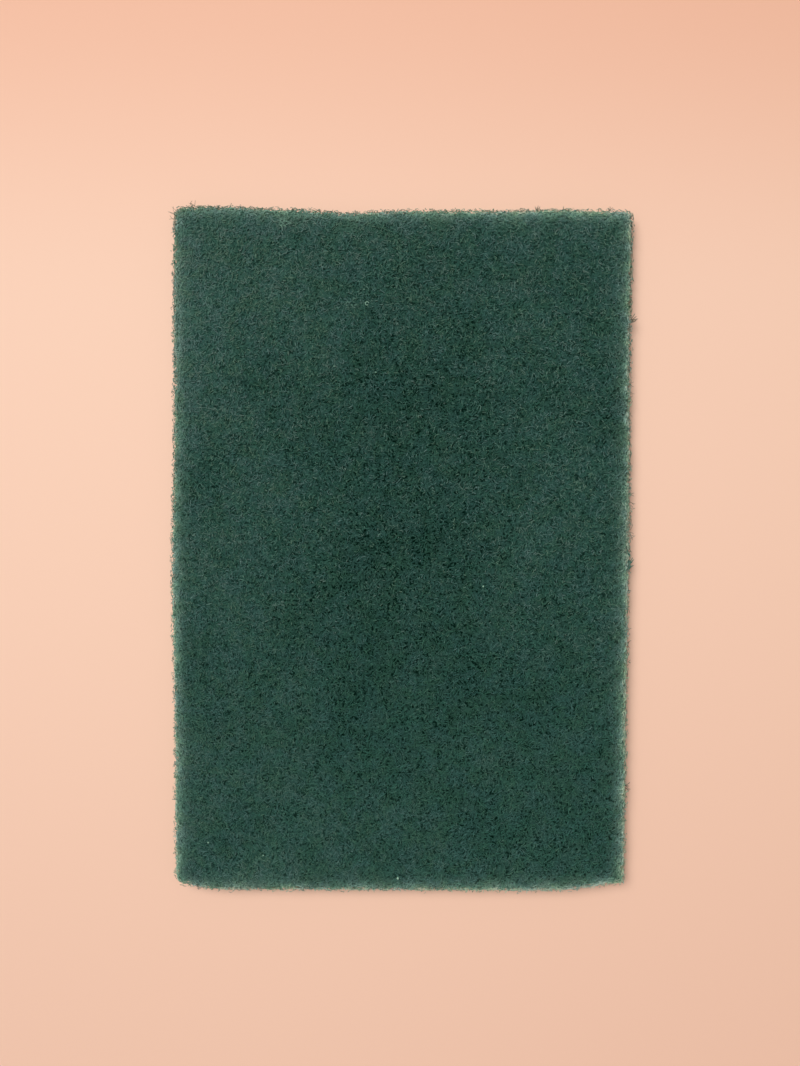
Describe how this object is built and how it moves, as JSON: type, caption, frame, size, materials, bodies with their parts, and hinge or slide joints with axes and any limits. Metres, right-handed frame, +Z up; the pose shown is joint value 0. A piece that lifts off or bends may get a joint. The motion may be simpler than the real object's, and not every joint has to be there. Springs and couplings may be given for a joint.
{
  "type": "scouring pad",
  "caption": "Flat rectangular scouring pad of bonded fibre web, with soft pinched edges where it was cut from its sheet.",
  "frame": {"origin": "on the table, under the middle of the pad's box", "axes": "+Z up through the thickness, +Y along the length towards the picture's upper end, +X along the width"},
  "size_m": [0.1536, 0.2296, 0.007],
  "materials": {
    "fibre_web": "matt, open, bonded non-woven fibre, dark green"
  },
  "bodies": {
    "root": {"scouring_pad": "fibre_web"}
  },
  "joints": []
}
